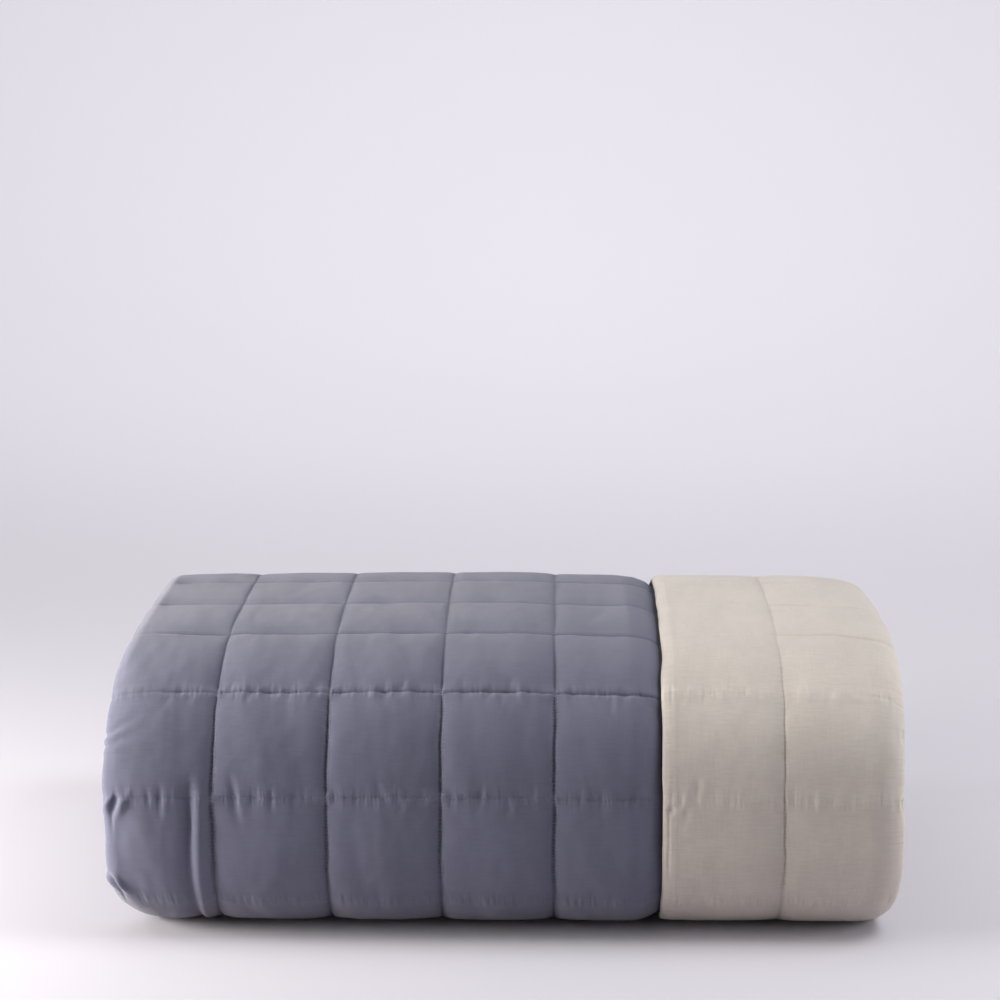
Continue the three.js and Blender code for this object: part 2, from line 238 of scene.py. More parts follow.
# Soft creases at the left end: the start above a row seam, the rise and the depth
LEFT_END_CREASES = ((0.0610, 0.40, 0.0016), (0.0490, 0.25, 0.0011))

# Creases that fall to the right end: the row seam, where they begin and the depth
RIGHT_END_CREASES = ((1, 0.300, 0.0005), (2, 0.290, 0.0011), (3, 0.270, 0.0007))

# Slits at the right end: their height above a row seam, along the cloth
RIGHT_END_SLITS = (0.063, -0.003)

# Dents that the row seams draw into the folds: on the noses of the inner layers, and on the outer ends
NOSE_DENT = 0.0036
END_DENT = 0.0024
END_DENT_FROM = 0.353
END_DENT_TO = 0.366

# The sewing lies beside the column seams, and sinks into the row seams. The face's row seams are sewn from
# FACE_SEWN_FROM.
FACE_SEWN_FROM = -0.290
SEWN_ASIDE = 0.0026
ROW_THREAD_SHARE = 0.20

# The studio's backdrop
BACKDROP_FLAT = 3.0
BACKDROP_SWEEP = 4.0
BACKDROP_HEIGHT = 8.0

# Lamps: name, place, what it faces, size, power and tint
COOL = (0.967, 0.990, 1.0)
WARM = (1.0, 0.980, 0.930)
LAMPS = (
    ("top", (0, 0, 3.0), (0, 0, 0.13), (2.5, 2.5), 8, COOL),
    ("top_wide", (0, 0.8, 4.0), (0, 0.8, 0), (5, 5), 65, COOL),
    ("left", (-1.5, -0.33, 0.38), (0, 0, 0.13), (0.5, 0.5), 32, WARM),
    ("left_low", (-1.5, -0.5, 0.28), (0, 0, 0.13), (0.5, 0.5), 14, WARM),
    ("left_high", (-1.5, -0.1, 1.2), (-0.3, -0.1, 0.2), (0.7, 0.7), 8, WARM),
    ("right", (1.6, -0.4, 0.5), (0, 0, 0.13), (0.8, 0.8), 10, COOL),
    ("right_floor", (1.6, -0.3, 2.2), (1.0, -0.4, 0), (1.2, 1.2), 36, COOL),
    ("wall", (0, 2.6, 3.6), (0, 6.2, 0.9), (2.5, 2.5), 126, COOL),
    ("wall_wide", (0, 2.6, 3.6), (0, 6.2, 0.9), (7, 1.5), 118, COOL),
)

# The camera: its place before the bundle is centred, its turns in degrees and its lens in millimetres
CAMERA_PLACE = (0.0439, -2.5948, 0.8081)
CAMERA_DOWN = 9.90
CAMERA_TURN = 1.13
CAMERA_LENS = 99.756

# Fineness of the meshes
BESIDE_SEAM = (0.0007, 0.0016, 0.0028, 0.0043, 0.0062, 0.0084)
BESIDE_BACK_SEAM = (0.0020, 0.0055)
COLUMN_STEP = 0.0022
ROW_STEP = 0.0032
TOP_STEP = 0.0080
BACK_STEP = 0.0085
FLOOR_STEP = 0.030
INNER_STEP = 0.0145
BESIDE_INNER_SEAM = (0.0040,)
BESIDE_FREE_END = (0.0006, 0.0018, 0.0036, 0.0060)
NOSE_STEP = 0.0045
PLAIN_STEP = 0.120
NOSE_STEPS = 14
SHOWN_NOSE_STEPS = 24


def clamp01(value):
    return np.clip(value, 0, 1)


def smoothstep(value, low, high):
    share = clamp01((value - low) / (high - low))
    return share * share * (3 - 2 * share)


def bell(distance, width):
    return np.exp(-(distance / width) ** 2)


def ripple(along, across, seed):
    """Even noise between about -1 and 1, with one swell for each unit along and across."""
    angle = np.random.default_rng(seed).uniform(0, 2 * math.pi, (256, 256))
    along, across = np.broadcast_arrays(along, across)
    column = np.floor(along).astype(int)
    row = np.floor(across).astype(int)
    x = along - column
    y = across - row
    ease_x = x * x * x * (x * (x * 6 - 15) + 10)
    ease_y = y * y * y * (y * (y * 6 - 15) + 10)
    corners = []
    for step_y in (0, 1):
        for step_x in (0, 1):
            turn = angle[(column + step_x) % 256, (row + step_y) % 256]
            corners.append(np.cos(turn) * (x - step_x) + np.sin(turn) * (y - step_y))
    low = corners[0] + ease_x * (corners[1] - corners[0])
    high = corners[2] + ease_x * (corners[3] - corners[2])
    return 1.5 * (low + ease_y * (high - low))


class Roll:
    """The outer line of the roll, and the place of a point at a depth inside it."""

    def __init__(self):
        y, z, squeeze, inset = [BACK - FREE_END], [0], [1], [0]
        pressed, tucked = 1, 0
        marks = []
        for face, start, girth, end, press, tuck, run_in, full_in, run_out, full_out in HALF_TURNS:
            inward = -math.copysign(1, face)
            quarter = np.linspace(0, math.pi / 2, QUARTER_STEPS + 1)
            halves = ((run_in, full_in, start, False), (run_out, full_out, end, True))
            for run, full, level, leaving in halves:
                across = face + inward * run * (1 - np.sin(quarter) ** (2 / full))
                up = girth + (level - girth) * np.clip(np.cos(quarter), 0, None) ** (2 / full)
                share = np.zeros(QUARTER_STEPS + 1)
                if leaving:
                    across, up = across[::-1][1:], up[::-1][1:]
                    share = np.linspace(0, 1, QUARTER_STEPS + 1)[1:]
                y.extend(across)
                z.extend(up)
                squeeze.extend(pressed + (press - pressed) * share)
                inset.extend(tucked + (tuck - tucked) * share)
                marks.append(len(y) - 1)
            pressed, tucked = press, tuck
        y.append(FRONT + CORE_END)
        z.append(HALF_TURNS[-1][3])
        squeeze.append(pressed)
        inset.append(tucked)
        self.y, self.z = np.array(y), np.array(z)
        self.squeeze, self.inset = np.array(squeeze), np.array(inset)
        steps = np.hypot(np.diff(self.y), np.diff(self.z))
        self.length = np.concatenate(([0], np.cumsum(steps)))
        keep = np.concatenate(([True], steps > 1e-7))
        marked = self.length[marks]
        self.y, self.z, self.length = self.y[keep], self.z[keep], self.length[keep]
        self.squeeze, self.inset = self.squeeze[keep], self.inset[keep]
        self.angle = np.unwrap(np.arctan2(np.gradient(self.z), np.gradient(self.y)))
        self.floor_end = self.length[1]
        self.girth = marked[0]
        self.outer = marked[2 * OUTER_HALF_TURNS - 1]
        self.total = self.length[-1]
        self.first_row = self.girth + ROW_ABOVE_GIRTH

    def at(self, values, length):
        return np.interp(length, self.length, values)

    def relief(self, length):
        rising = clamp01(self.at(self.z, length) / FADE_HEIGHT)
        return rising * clamp01((self.outer - length) / FADE_LENGTH)

    def fullness(self, length):
        """Share of a layer's thickness, which falls away to a rounded edge at the two free ends."""
        to_end = clamp01(np.minimum(length, self.total - length) / END_ROUND)
        return END_SHARE + (1 - END_SHARE) * np.sqrt(1 - (1 - to_end) ** 2)

    def place(self, x, depth, length):
        angle = self.at(self.angle, length)
        below = depth * self.at(self.squeeze, length)
        across = x * (1 - self.at(self.inset, length) / END)
        y = self.at(self.y, length) + np.sin(angle) * below
        z = self.at(self.z, length) - np.cos(angle) * below
        back = (y - FRONT) / DEPTH
        high = z / HEIGHT
        right_end = clamp01((across - SAG_FROM) / (END - SAG_FROM))
        left_end = clamp01(-across / END) ** 2
        both_ends = clamp01((np.abs(across) - FOOT_FROM) / (END - FOOT_FROM))
        foot = clamp01(1 - z / FOOT_HEIGHT) ** 2
        pull = LEFT_PULL * left_end * high * high * smoothstep(back, PULL_FROM, PULL_TO)
        push = RIGHT_PUSH * clamp01((across - PUSH_FROM) / (END - PUSH_FROM)) ** 2 * high ** 3
        push = push * (1 - PUSH_LOSS * smoothstep(back, PUSH_BACK_FROM, PUSH_BACK_TO))
        bulge = LEFT_BULGE * left_end * bell(z - LEFT_BULGE_AT, LEFT_BULGE_REACH)
        foot_pull = np.where(across < 0, LEFT_FOOT_PULL, -RIGHT_FOOT_PULL) * both_ends * foot
        belly = RIGHT_BULGE * clamp01(across / END) ** 2 * bell(z - RIGHT_BULGE_AT, RIGHT_BULGE_REACH)
        settled_x = across + pull + push - bulge + belly + foot_pull
        lower = LEFT_SAG * clamp01((-across - LEFT_SAG_FROM) / (END - LEFT_SAG_FROM))
        lower = lower + RIGHT_SAG * smoothstep(across, 0, RIGHT_SAG_TO)
        lower = lower + right_end * (END_SAG + BACK_SAG * back)
        settled_z = z * (1 - lower)
        return np.stack(np.broadcast_arrays(settled_x - MIDDLE_X, y - MIDDLE_Y, settled_z), axis=-1)


def spread(start, stop, step):
    """Evenly spread values from start to stop, about a step apart, without stop."""
    count = max(1, round(abs(stop - start) / step))
    return list(np.linspace(start, stop, count + 1)[:-1])


def chain(breaks, step):
    values = []
    for start, stop in zip(breaks[:-1], breaks[1:]):
        values.extend(spread(start, stop, step))
    return values + [breaks[-1]]


def graded(breaks, seams, beside, step):
    """Values along a run with breaks, a step apart and closer together beside the breaks that are seams."""
    values = []
    for start, stop in zip(breaks[:-1], breaks[1:]):
        close = [gap for gap in beside if gap < (stop - start) / 2 - step / 2]
        after = [start + gap for gap in close] if start in seams else []
        before = [stop - gap for gap in reversed(close)] if stop in seams else []
        first = after[-1] if after else start
        last = before[0] if before else stop
        values += [start, *after, *spread(first, last, step)[1:], *before]
    return values + [breaks[-1]]


def roll_lengths(roll):
    """Lengths along the roll of the floor run, the front and top, the back, and the inner turns."""
    floor = [0, *BESIDE_FREE_END[:-1], *spread(BESIDE_FREE_END[-1], roll.floor_end, FLOOR_STEP)]
    rows = roll.first_row + SQUARE * np.arange(-4, 24)
    shoulder = roll.first_row + 1.4 * SQUARE
    top = roll.first_row + 4.5 * SQUARE
    runs = []
    stretches = (
        (roll.floor_end, shoulder, BESIDE_SEAM, ROW_STEP),
        (shoulder, top, BESIDE_SEAM, TOP_STEP),
        (top, roll.outer, BESIDE_BACK_SEAM, BACK_STEP),
    )
    for start, stop, beside, step in stretches:
        breaks = [start, *[row for row in rows if start < row < stop], stop]
        runs.append(graded(breaks, rows, beside, step)[:-1])
    last = roll.total - BESIDE_FREE_END[-1]
    breaks = [roll.outer, *[row for row in rows if roll.outer < row < last], last]
    inner = graded(breaks, rows, BESIDE_INNER_SEAM, INNER_STEP)
    inner += [roll.total - gap for gap in BESIDE_FREE_END[-2::-1]] + [roll.total]
    return np.array(floor), np.array(runs[0] + runs[1]), np.array(runs[2]), np.array(inner)


def layer_depth(layer, x, smooth):
    """Depth of the middle of a layer. Layer 0 is the turned-back edge, which lies on top."""
    if layer == 0:
        return HALF_LAYER + 0 * x
    share = smoothstep(x, FACE_STEP_FROM, FACE_STEP_TO) if smooth else np.interp(x, *CUFF_STEP)
    return HALF_LAYER + (layer - 1 + share) * LAYER_STEP


def cloth_side(offset):
    """One side of a cloth through the zigzag, from the hem of the turned-back edge to the last layer: a row
    for each point, with x, depth, pull along x and depth, place on the cloth, place across the squares,
    whether it is plain (0), quilted (1) or a plain nose (2), its share of the hem's waver, and how far along
    x and depth it lies from the middle of its layer."""
    outside = abs(offset) > HALF_PANEL_GAP
    rows = []
    cloth = 0.0
    for layer in range(LAYERS + 1):
        leftward = layer % 2 == 1
        quilted = outside and (offset > 0 if layer == 0 else layer == 1 and offset < 0)
        left_fold = FOLDS[layer if leftward else layer - 1] if layer > 0 else None
        right_fold = None
        if layer < LAYERS or leftward:
            right_fold = FOLDS[layer - 1 if leftward else layer]
        left = left_fold[1] - FOLD_CENTRE if left_fold else CUFF_EDGE
        right = FOLD_CENTRE - right_fold[1] if right_fold else LAST_LAYER_END
        if quilted and layer == 0:
            hem = CUFF_EDGE + HEM_WIDTH * (1 - np.cos(np.linspace(0, math.pi / 2, 14)))
            sewn = CUFF_EDGE + HEM_WIDTH
            cuff = graded([sewn, CUFF_SEAM, right], (sewn, CUFF_SEAM), BESIDE_SEAM, COLUMN_STEP)
            columns = [*hem[:-1], *cuff]
        elif quilted:
            seams = [x for x, _ in FACE_SEAMS if left < x < CUFF_EDGE]
            columns = graded([left, *seams, FACE_STEP_TO], seams, BESIDE_SEAM, COLUMN_STEP)
            columns += chain([FACE_STEP_TO, SAG_FROM, right], PLAIN_STEP)[1:]
        elif layer == 0:
            hem = [left, left + 0.008, left + 0.018, left + HEM_REACH]
            columns = chain([*hem, SAG_FROM, right], PLAIN_STEP)
        else:
            breaks = (left, *CUFF_STEP[0], SAG_FROM, right)
            columns = chain([x for x in breaks if left <= x <= right], PLAIN_STEP)
        columns = np.array(columns)
        mid = layer_depth(layer, columns, quilted)
        side = 1 if leftward else -1
        distance = columns - left if not leftward else right - columns
        run = np.stack([
            columns,
            mid + side * offset,
            0 * columns,
            0 * columns + 1,
            cloth + distance,
            columns,
            0 * columns + (1 if quilted else 0),
            (layer == 0) * clamp01(1 - (columns - CUFF_EDGE) / HEM_REACH),
            0 * columns,
            0 * columns + side * offset,
        ], axis=1)
        rows.append(run[::-1] if leftward else run)
        cloth += right - left
        if layer == LAYERS:
            break
        end_side, tuck = FOLDS[layer]
        radius = FOLD_RADIUS + end_side * offset
        nose = radius > FOLD_RADIUS + HALF_PANEL_GAP
        steps = NOSE_STEPS if nose else (6 if radius > FOLD_RADIUS - HALF_LAYER / 2 else 3)
        if nose and layer < 2:
            steps = SHOWN_NOSE_STEPS
        turn = np.linspace(0, math.pi, steps + 1)[1:-1]
        tangent = end_side * (FOLD_CENTRE - tuck)
        middle = layer_depth(layer, np.array(end_side * FOLD_CENTRE), False) + FOLD_RADIUS
        rows.append(np.stack([
            tangent + end_side * radius * np.sin(turn),
            middle - radius * np.cos(turn),
            -end_side * np.sin(turn),
            np.cos(turn),
            cloth + FOLD_RADIUS * turn,
            tangent + end_side * radius * turn,
            0 * turn + ((1 if layer < 2 else 2) if nose else 0),
            0 * turn,
            offset * np.sin(turn),
            -end_side * offset * np.cos(turn),
        ], axis=1))
        cloth += FOLD_RADIUS * math.pi
    return np.concatenate(rows)


def end_rounding(column, start):
    """How far a point near a folded end lies below the plain fold when the end rounds over along an ellipse
    that begins at a distance from the middle. Past the fold's tangent the distance goes round the fold."""
    inner = FOLD_CENTRE - start
    reach = inner + NOSE_RADIUS
    apart = np.abs(column)
    along = clamp01((apart - start) / reach)
    flat = NOSE_RADIUS * (1 - np.sqrt(1 - along ** 2))
    turn = np.clip((apart - FOLD_CENTRE) / NOSE_RADIUS, 0, math.pi / 2)
    sine, cosine = np.sin(turn), np.cos(turn)
    a = (sine / reach) ** 2 + (cosine / NOSE_RADIUS) ** 2
    b = 2 * inner * sine / reach ** 2
    radius = (np.sqrt(b * b - 4 * a * ((inner / reach) ** 2 - 1)) - b) / (2 * a)
    return np.where(apart < FOLD_CENTRE, flat, NOSE_RADIUS - radius)


def seam_valley(distance, crease, before, after, lip=1):
    """How much of a square's fullness is lost at a signed distance from a seam: 1 on it and 0 on the crown.
    crease is the share that falls off sharply, before and after the softness of the seam's two sides, and lip
    how much wider the sharp share falls off before the seam."""
    apart = np.abs(distance)
    sharp = np.exp(-apart / (CREASE * np.where(distance < 0, lip, 1)))
    soft = np.exp(-apart / np.where(distance < 0, before, after))
    round_over = clamp01(1 - apart / (SQUARE / 2)) ** 2
    return crease * sharp + (0.80 - crease) * soft + 0.20 * round_over


def row_values(roll, length):
    """Number of the nearest row seam, the signed distance from it, and its row of ROW_SEAMS."""
    count = np.round((length - roll.first_row) / SQUARE).astype(int)
    distance = length - roll.first_row - count * SQUARE
    table = np.array([ROW_SEAMS.get(row, OTHER_ROW) for row in range(-6, 20)])
    return count, distance, np.moveaxis(table[np.clip(count + 6, 0, 25)], -1, 0)


def pucker_field(sizes, along, distance, seam, reach, seed):
    """Small uneven ridges and troughs that run away from a seam on both sides."""
    lane = seam * 7.31
    lean = 0.35 * ripple(along / 0.030, lane + 0 * along, seed + 1)
    far = reach * (1 + 0.7 * ripple(along / 0.021, lane + 0.5, seed + 2))
    fine = ripple((along + lean * distance) / 0.0085, distance / 0.045 + lane, seed + 3)
    broad = ripple((along + lean * distance) / 0.019, distance / 0.070 + lane, seed + 4)
    fall = np.exp(-(np.abs(distance) / np.maximum(far, 0.003)) ** 1.3)
    return sizes.pucker_height * fall * (1.1 * fine + 0.8 * broad)


def crease_field(creases, roll, column, length):
    """The depth of the listed creases. Each has a low ridge on its right side."""
    depth = np.zeros(column.shape)
    for row, place, over, under, lean, half_width, deep in creases:
        along = (length - roll.first_row - row * SQUARE) * 1000
        share = (along + under) / (over + under)
        near = (share > 0) & (share < 1)
        share, along = share[near], along[near]
        shown = smoothstep(share, 0, 0.4) * smoothstep(1 - share, 0, 0.4)
        beside = (column[near] * 1000 - place - lean * along) / (1.1 * half_width)
        shape = np.exp(-beside ** 2) - 0.4 * np.exp(-((beside - 1.7) / 1.2) ** 2)
        depth[near] += (0.74 if row == 0 else 0.88) * deep / 1000 * shown * shape
    return depth


def column_values(seams, column):
    """Number of the nearest column seam, the signed distance from it, and its share of the full depth."""
    places = np.array([x for x, _ in seams])
    shares = np.array([share for _, share in seams])
    nearest = np.abs(column[..., None] - places).argmin(axis=-1)
    return nearest, column - places[nearest], shares[nearest]


def end_dents(beyond, above):
    """Dents that the row seams draw into the outer ends, at a distance from the middle."""
    return END_DENT * smoothstep(beyond, END_DENT_FROM, END_DENT_TO) * np.exp(-np.abs(above) / 0.006)


def face_relief(sizes, roll, column, length):
    """Depth of the face below the crowns over its squares, and how far its points shift along x and along
    the roll where the seams waver."""
    nearest, beside, column_share = column_values(FACE_SEAMS, column)
    count, above, (row_share, row_crease, row_below, row_above, row_pucker) = row_values(roll, length)
    front = smoothstep(-length, -roll.first_row - 2.0 * SQUARE, -roll.first_row - 1.0 * SQUARE)
    uneven = 1 + 0.12 * ripple(length / 0.034, nearest * 3.7 + 0 * column, 11)
    left_soft = 0.0050 + (1.2 * sizes.seam_softness - 0.0050) * front
    right_soft = 0.0040 + 0.0024 * front
    valley = seam_valley(beside, 0.30, left_soft, right_soft)
    across = column_share * (0.30 + 0.70 * front) * valley * uneven
    across *= 1 - CROSSING_LOSS * front * (count >= 0) * bell(above, CROSSING_REACH)
    row_uneven = 1 + 0.28 * ripple(column / 0.026, count * 5.3 + 0 * length, 12)
    late, early = smoothstep(column, -0.335, -0.265), smoothstep(column, -0.352, -0.325)
    left_cell = np.where((count == 1) | (count == 2), late, early)
    row_share = row_share * (0.25 + 0.75 * left_cell)
    row_crease = np.where(count > 1, row_crease + 0.20 * smoothstep(column, -0.100, 0.060), row_crease)
    lip = np.where(count < 2, 3.5, 1)
    down = row_share * seam_valley(above, row_crease, row_below, row_above, lip) * row_uneven
    full = clamp01(1 - across) * clamp01(1 - down)
    rise = (sizes.crown_rise + FRONT_RISE * front) * (1 + 0.3 * ripple(column / 0.09, length / 0.09, 13))
    relief = sizes.seam_depth * (1 - full) - rise * full
    open_row = clamp01(np.abs(beside) / 0.010)
    relief += row_pucker * open_row * left_cell * pucker_field(sizes, column, above, count, 0.009, 20)
    open_column = clamp01(np.abs(above) / 0.010)
    beside_column = pucker_field(sizes, length, beside, nearest, 0.007, 30)
    relief += 0.35 * (0.3 + 0.7 * front) * open_column * beside_column
    relief += open_row * crease_field(FACE_CREASES, roll, column, length)
    swell = ripple(column / 0.034 + length / 0.21, length / 0.085, 14)
    relief += (0.40 + 0.60 * front) * sizes.crease_height * swell * full
    relief += 0.0003 * ripple(column / 0.013, length / 0.017, 15) * full
    relief += np.where(column < 0, end_rounding(column, 0.290), 0) * (0.15 + 0.85 * front)
    relief += end_dents(-column, above)
    # The upright pleat beside the first seam, from above a row seam down to the foot
    drop = roll.first_row + PLEAT_TOP - length
    pleat = column - PLEAT_AT + PLEAT_LEAN * smoothstep(drop, 0.020, 0.080)
    shown = smoothstep(drop, 0, 0.030)
    relief += PLEAT_DEPTH * shown * np.exp(-np.abs(pleat) / np.where(pleat < 0, *PLEAT_SOFT))
    ridge, ridge_at, ridge_width = PLEAT_RIDGE
    relief -= ridge * shown * bell(pleat - ridge_at, ridge_width)
    # Pinches at the left end where row seams cross the end fold, each a slanted hole with a crease from it
    for row, place, fall, slant, sink in END_PINCHES:
        down_from = length - roll.first_row - row * SQUARE + fall
        hole = column - place - slant * down_from
        relief -= 0.0030 * bell(hole - 0.0080, 0.0045) * bell(down_from, 0.0090)
        relief -= 0.0026 * bell(hole + 0.0075, 0.0040) * bell(down_from, 0.0080)
        relief += sink * bell(hole, 0.0034) * bell(down_from, 0.0056)
        tail = hole + 0.9 * slant * (down_from + 0.010)
        relief += 0.0011 * bell(tail, 0.0022) * bell(down_from + 0.014, 0.009)
    # Two soft creases that run in from the left end above the girth
    for start, rise_rate, sink in LEFT_END_CREASES:
        run = column + END
        crease = length - roll.first_row - start - rise_rate * run
        trough = bell(crease, 0.0030) - 0.5 * bell(crease + 0.0062, 0.0040)
        relief += sink * smoothstep(-run, -0.034, -0.004) * trough
    # The hollow beside the turned-back edge, deepest in one pocket under a row seam
    to_hem = clamp01((CUFF_EDGE - HEM_DRAW - column) / 0.030) * 0.030
    relief += 0.0034 * np.exp(-to_hem / 0.0036)
    pocket = length - roll.first_row - SQUARE + 0.018
    relief += 0.0018 * bell(column - CUFF_EDGE + 0.0045, 0.0050) * bell(pocket, 0.0060)
    shift_x = 0.0007 * ripple(length / 0.028, nearest * 2.9 + 0 * column, 16) * bell(beside, 0.018)
    shift_length = 0.0007 * ripple(column / 0.032, count * 4.1 + 0 * length, 17) * bell(above, 0.018)
    return np.minimum(relief, DEEPEST), shift_x, shift_length


def cuff_relief(sizes, roll, column, length):
    """Depth of the turned-back edge below its crowns, and how far its points shift along x and along the
    roll where the seams waver."""
    nearest, beside, column_share = column_values(CUFF_SEAMS, column)
    count, above, (row_share, row_crease, row_below, row_above, row_pucker) = row_values(roll, length)
    uneven = 1 + 0.18 * ripple(length / 0.034, nearest * 3.7 + 0 * column, 41)
    top = smoothstep(length, roll.first_row + 1.2 * SQUARE, roll.first_row + 1.9 * SQUARE)
    valley = seam_valley(beside, 0.12 - 0.06 * top, 0.0085, 0.0046)
    across = column_share * (1.25 - 0.75 * top) * valley * uneven
    row_uneven = 1 + 0.35 * ripple(column / 0.026, count * 5.3 + 0 * length, 42)
    beyond = smoothstep(column, CUFF_SEAM - 0.010, CUFF_SEAM + 0.020)
    faint = CUFF_ROW_SHARE * (1 + 4.0 * beyond * top)
    row_crease = row_crease + 0.40 * beyond * top
    down = row_share * faint * seam_valley(above, row_crease, row_below, row_above) * row_uneven
    full = clamp01(1 - across) * clamp01(1 - down)
    rise = sizes.crown_rise * (1 + 0.6 * ripple(column / 0.09, length / 0.09, 43))
    relief = sizes.seam_depth * (1 - full) - rise * full
    open_row = clamp01(np.abs(beside) / 0.010)
    relief += 0.4 * row_pucker * open_row * pucker_field(sizes, column, above, count, 0.011, 50)
    open_column = clamp01(np.abs(above) / 0.010)
    relief += 0.4 * open_column * pucker_field(sizes, length, beside, nearest, 0.008, 60)
    relief += crease_field(CUFF_CREASES, roll, column, length)
    swell = ripple(column / 0.040 - length / 0.30, length / 0.080, 44)
    relief += 0.5 * sizes.crease_height * swell * full
    relief += 0.0003 * ripple(column / 0.014, length / 0.018, 45) * full
    # The hem: a band that falls away to a rounded edge, with a fine line of sewing
    inside = column - CUFF_EDGE
    relief += HEM_SLOPE * clamp01(1 - inside / (1.4 * HEM_WIDTH)) ** 1.7
    edge = clamp01(1 - inside / HEM_ROUND)
    relief += HEM_ROUND * (1 - np.sqrt(clamp01(1 - edge ** 2)))
    relief += 0.0001 * np.exp(-np.abs(inside - HEM_WIDTH) / 0.0014)
    relief += 0.00015 * bell(inside - HEM_WIDTH, 0.008) * ripple(length / 0.009, 0 * column, 46)
    # A pinch in the hem on a row seam of the front
    pinch = length - roll.first_row + 0.009
    relief += 0.0022 * bell(inside - 0.0070, 0.0036) * bell(pinch - 0.3 * (inside - 0.007), 0.0022)
    below = smoothstep(-pinch, 0, 0.006) * smoothstep(pinch, -0.080, -0.050)
    relief += 0.0006 * bell(inside - 0.0052, 0.0010) * below
    relief += end_rounding(column, 0.318)
    relief += end_dents(column, above)
    # Creases that fall to the right end on the next row seams
    for row, start, sink in RIGHT_END_CREASES:
        run = clamp01((column - start) / 0.070)
        fallen = length - roll.first_row - row * SQUARE + 0.010 * run ** 2
        trough = bell(fallen, 0.0022) - 0.4 * bell(fallen + 0.0050, 0.0035)
        relief += sink * smoothstep(run, 0.05, 0.4) * trough
    # Two slits at the right end where the fold is pinched
    for slit in RIGHT_END_SLITS:
        relief += 0.0040 * bell(column - 0.3530, 0.0018) * bell(length - roll.first_row - slit, 0.0055)
    shift_x = 0.0008 * ripple(length / 0.030, nearest * 2.9 + 0 * column, 47) * bell(beside, 0.018)
    shift_length = 0.0008 * ripple(column / 0.034, count * 4.1 + 0 * length, 48) * bell(above, 0.018)
    return np.minimum(relief, DEEPEST), shift_x, shift_length


def decimated(outline):
    """Indices of an outline's points that a coarse ring keeps: all on the plain runs, the seams and a few
    beside them, and points far enough apart over the crowns."""
    seams = np.array([place for place, _ in (*FACE_SEAMS, *CUFF_SEAMS)])
    kept = [0]
    last = len(outline) - 1
    for index in range(1, last):
        kind = outline[index, 6]
        turning = kind != outline[index - 1, 6] or kind != outline[index + 1, 6]
        to_seam = np.abs(outline[index, 5] - seams).min()
        apart = np.hypot(*(outline[index, :2] - outline[kept[-1], :2]))
        if kind == 2 or abs(outline[index, 5]) > FOLD_CENTRE - 0.002:
            step = NOSE_STEP
        else:
            step = 0.0034 if to_seam < 0.009 else 0.016
        if kind == 0 or turning or to_seam < 1e-6 or apart > step:
            kept.append(index)
    return np.array(kept + [last])


def new_piece(name, points, faces):
    mesh = bpy.data.meshes.new(name)
    mesh.from_pydata(points, [], faces)
    piece = bpy.data.objects.new(name, mesh)
    bpy.context.collection.objects.link(piece)
    return piece


def panel_mesh(name, roll, sides, surface):
    """A closed panel between two sides of a cloth, swept along the roll. surface gives the places of a side's
    points. The rings over the front and top have every point, the others only the kept ones."""
    outline = np.concatenate([sides[0], sides[1][::-1]])
    split = len(sides[0])
    floor, shown, back, inner = roll_lengths(roll)
    kept = decimated(outline)
    first_kept_after = int(np.searchsorted(kept, split))
    fine_count, coarse_count = len(outline), len(kept)
    outer = np.concatenate([shown, back])
    grid = surface(outline, outer)
    points = [*surface(outline[kept], floor), *grid[:len(shown)], *grid[len(shown):, kept]]
    points += [*surface(outline[kept], inner)]
    lengths = np.concatenate([floor, outer, inner])
    rings, texture = [], []
    start = 0
    for ring, length in zip(points, lengths):
        cloth = outline[:, 4] if len(ring) == fine_count else outline[kept, 4]
        texture.append(np.stack([cloth, 0 * cloth + length], axis=1))
        rings.append((start, len(ring)))
        start += len(ring)
    faces = []
    for (a, count_a), (b, count_b) in zip(rings[:-1], rings[1:]):
        if count_a == count_b:
            here = np.arange(count_a)
            after = (here + 1) % count_a
            quads = np.stack([a + here, b + here, b + after, a + after], axis=1)
            faces.extend(quads.tolist())
            continue
        widening = count_b > count_a
        fine_start = b if widening else a
        coarse_start = a if widening else b
        for index in range(coarse_count):
            after = (index + 1) % coarse_count
            stop = kept[after] if after else fine_count
            between = [fine_start + k % fine_count for k in range(kept[index], stop + 1)]
            face = between[::-1] + [coarse_start + index, coarse_start + after]
            faces.append(face[::-1] if widening else face)
    for ring, flip in ((rings[0], False), (rings[-1], True)):
        i, j = 0, coarse_count - 1
        while i < first_kept_after - 1 or j > first_kept_after:
            next_i = outline[kept[i + 1], 4] if i < first_kept_after - 1 else 9
            next_j = outline[kept[j - 1], 4] if j > first_kept_after else 9
            if next_i <= next_j:
                face = [ring[0] + i, ring[0] + i + 1, ring[0] + j]
                i += 1
            else:
                face = [ring[0] + i, ring[0] + j - 1, ring[0] + j]
                j -= 1
            faces.append(face[::-1] if flip else face)
    texture = np.concatenate(texture)
    piece = new_piece(name, np.concatenate(points).tolist(), faces)
    mesh = piece.data
    corner = np.empty(len(mesh.loops), dtype=int)
    mesh.loops.foreach_get("vertex_index", corner)
    layer = mesh.uv_layers.new(name="cloth")
    layer.data.foreach_set("uv", texture[corner].astype(np.float32).ravel())
    mesh.update()
    return piece, outline, outer, grid


